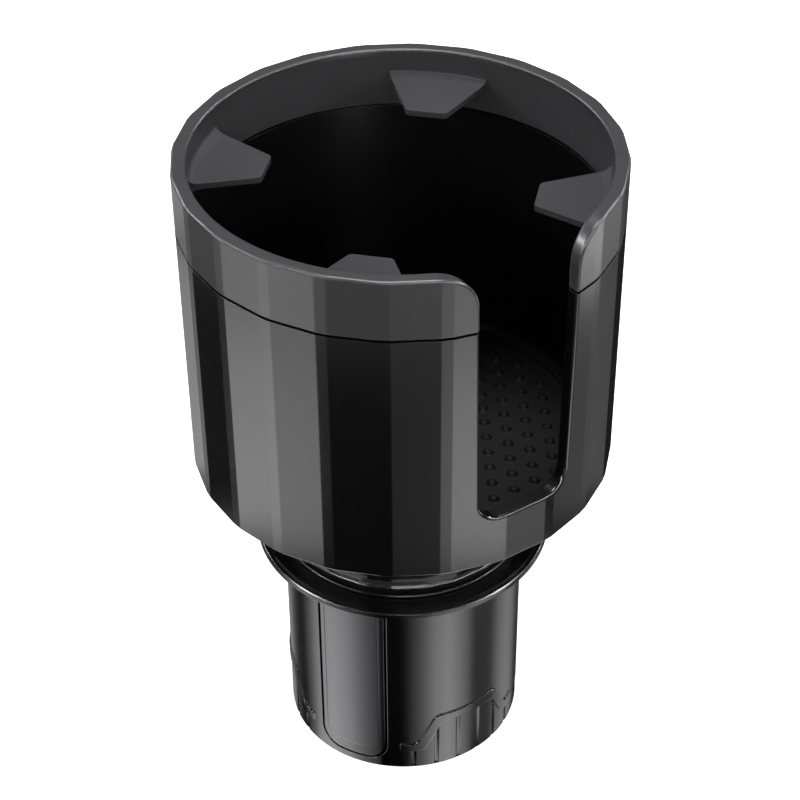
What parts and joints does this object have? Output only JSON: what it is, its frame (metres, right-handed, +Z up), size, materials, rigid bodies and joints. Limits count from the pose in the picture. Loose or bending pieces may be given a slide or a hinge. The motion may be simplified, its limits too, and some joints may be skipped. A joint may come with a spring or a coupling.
{
  "type": "car cup holder",
  "caption": "Car cup holder: a wide faceted cup with a handle slot and grip tabs, on a neck above a narrow base whose jaws spread when the cup is twisted.",
  "frame": {"origin": "middle of the base's underside, where the holder stands", "axes": "+Z up along the cup's axis; the handle slot faces -Y; +X to the right of the slot seen from the front"},
  "size_m": [0.1116, 0.1116, 0.184],
  "materials": {
    "cup_plastic": "satin black, finely grained",
    "base_plastic": "gloss black",
    "collar_rubber": "soft touch, dark grey",
    "mat_rubber": "matt black",
    "pad_rubber": "smooth, dark blue-grey",
    "inner_plastic": "natural acetal",
    "washer_fibre": "pressed fibre",
    "screw_steel": "zinc plated"
  },
  "bodies": {
    "base": {"base_shell": "base_plastic", "bottom_cover": "base_plastic", "bottom_screws": "screw_steel"},
    "cup": {"cup_body": "cup_plastic", "grip_collar": "collar_rubber", "floor_mat": "mat_rubber", "cup_screws": "screw_steel", "neck_hub": "base_plastic", "friction_washer": "washer_fibre", "scroll_plate": "inner_plastic", "centre_washer": "screw_steel", "centre_screw": "screw_steel"},
    "jaw_1": {"jaw_1": "base_plastic", "jaw_pad_1": "pad_rubber", "follower_pin_1": "screw_steel"},
    "jaw_2": {"jaw_2": "base_plastic", "jaw_pad_2": "pad_rubber", "follower_pin_2": "screw_steel"},
    "jaw_3": {"jaw_3": "base_plastic", "jaw_pad_3": "pad_rubber", "follower_pin_3": "screw_steel"}
  },
  "joints": [
    {"name": "cup_twist", "type": "hinge", "parent": "base", "child": "cup", "pos_m": [0, 0, 0.067], "axis": [0, 0, -1], "range_deg": [0, 120]},
    {"name": "jaw_1_slide", "type": "slide", "parent": "base", "child": "jaw_1", "axis": [0.866, -0.5, 0], "range_m": [0, 0.0081]},
    {"name": "jaw_2_slide", "type": "slide", "parent": "base", "child": "jaw_2", "axis": [0, 1, 0], "range_m": [0, 0.0081]},
    {"name": "jaw_3_slide", "type": "slide", "parent": "base", "child": "jaw_3", "axis": [-0.866, -0.5, 0], "range_m": [0, 0.0081]}
  ],
  "couplings": [
    {"joint": "jaw_1_slide", "follows": "cup_twist", "m_per_rad": 0.0038197},
    {"joint": "jaw_2_slide", "follows": "cup_twist", "m_per_rad": 0.0038197},
    {"joint": "jaw_3_slide", "follows": "cup_twist", "m_per_rad": 0.0038197}
  ]
}
